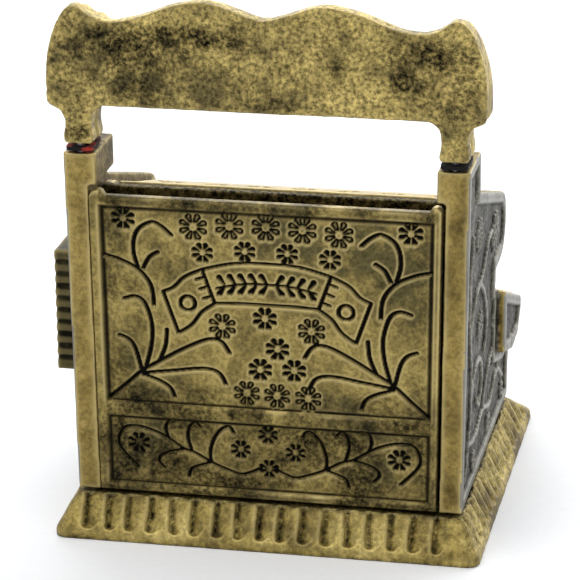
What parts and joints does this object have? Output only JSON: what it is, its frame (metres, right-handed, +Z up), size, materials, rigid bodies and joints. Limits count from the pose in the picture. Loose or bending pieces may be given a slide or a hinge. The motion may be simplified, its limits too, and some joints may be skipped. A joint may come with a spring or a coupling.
{
  "type": "miniature cash register pencil sharpener",
  "caption": "Miniature antique-brass cash register with engraved back panel, scalloped crest over a see-through window, press keys, sliding drawer and a block pencil sharpener in its side wall.",
  "frame": {"origin": "centre of the base's flat resting face", "axes": "+Z up; +Y out of the engraved back; -Y towards the operator, keys and drawer; +X the operator's right, where the sharpener sticks out"},
  "size_m": [0.0517, 0.0484, 0.0641],
  "materials": {
    "antique_brass": "antique satin, dark patina in the recesses",
    "dark_brass": "dark patina",
    "key_brass": "rubbed satin",
    "steel": "brushed",
    "red_fibre": "matt fibre"
  },
  "bodies": {
    "case": {"base_plinth": "antique_brass", "bottom_plate": "dark_brass", "bottom_screw_1": "steel", "bottom_screw_2": "steel", "bottom_screw_3": "steel", "bottom_screw_4": "steel", "right_side_wall": "antique_brass", "left_side_wall": "antique_brass", "rear_panel": "antique_brass", "hood": "antique_brass", "front_panel": "antique_brass", "crest_rear": "antique_brass", "crest_front": "dark_brass", "left_rear_dowel": "steel", "left_front_dowel": "steel", "right_rear_dowel": "steel", "right_front_dowel": "steel", "left_rear_washer": "red_fibre", "left_front_washer": "red_fibre", "right_rear_washer": "red_fibre", "right_front_washer": "red_fibre", "shelf": "dark_brass", "keyboard": "antique_brass", "sharpener_body": "dark_brass", "sharpener_blade": "steel", "blade_screw": "steel"},
    "drawer": {"drawer_tray": "dark_brass", "drawer_front": "antique_brass", "drawer_knob": "key_brass"},
    "key_1_body": {"key_1": "key_brass"},
    "key_2_body": {"key_2": "key_brass"},
    "key_3_body": {"key_3": "key_brass"},
    "key_4_body": {"key_4": "key_brass"},
    "key_5_body": {"key_5": "key_brass"},
    "key_6_body": {"key_6": "key_brass"},
    "key_7_body": {"key_7": "key_brass"},
    "key_8_body": {"key_8": "key_brass"},
    "key_9_body": {"key_9": "key_brass"},
    "key_10_body": {"key_10": "key_brass"}
  },
  "joints": [
    {"name": "drawer_slide", "type": "slide", "parent": "case", "child": "drawer", "axis": [0, -1, 0], "range_m": [0, 0.0227]},
    {"name": "key_1_press", "type": "slide", "parent": "case", "child": "key_1_body", "axis": [0, 0.3567, -0.9342], "range_m": [0, 0.001], "stiffness_N_per_m": 300, "springref_m": -0.0003},
    {"name": "key_2_press", "type": "slide", "parent": "case", "child": "key_2_body", "axis": [0, 0.3567, -0.9342], "range_m": [0, 0.001], "stiffness_N_per_m": 300, "springref_m": -0.0003},
    {"name": "key_3_press", "type": "slide", "parent": "case", "child": "key_3_body", "axis": [0, 0.3567, -0.9342], "range_m": [0, 0.001], "stiffness_N_per_m": 300, "springref_m": -0.0003},
    {"name": "key_4_press", "type": "slide", "parent": "case", "child": "key_4_body", "axis": [0, 0.3567, -0.9342], "range_m": [0, 0.001], "stiffness_N_per_m": 300, "springref_m": -0.0003},
    {"name": "key_5_press", "type": "slide", "parent": "case", "child": "key_5_body", "axis": [0, 0.3567, -0.9342], "range_m": [0, 0.001], "stiffness_N_per_m": 300, "springref_m": -0.0003},
    {"name": "key_6_press", "type": "slide", "parent": "case", "child": "key_6_body", "axis": [0, 0.3567, -0.9342], "range_m": [0, 0.001], "stiffness_N_per_m": 300, "springref_m": -0.0003},
    {"name": "key_7_press", "type": "slide", "parent": "case", "child": "key_7_body", "axis": [0, 0.3567, -0.9342], "range_m": [0, 0.001], "stiffness_N_per_m": 300, "springref_m": -0.0003},
    {"name": "key_8_press", "type": "slide", "parent": "case", "child": "key_8_body", "axis": [0, 0.3567, -0.9342], "range_m": [0, 0.001], "stiffness_N_per_m": 300, "springref_m": -0.0003},
    {"name": "key_9_press", "type": "slide", "parent": "case", "child": "key_9_body", "axis": [0, 0.3567, -0.9342], "range_m": [0, 0.001], "stiffness_N_per_m": 300, "springref_m": -0.0003},
    {"name": "key_10_press", "type": "slide", "parent": "case", "child": "key_10_body", "axis": [0, 0.3567, -0.9342], "range_m": [0, 0.001], "stiffness_N_per_m": 300, "springref_m": -0.0003}
  ]
}
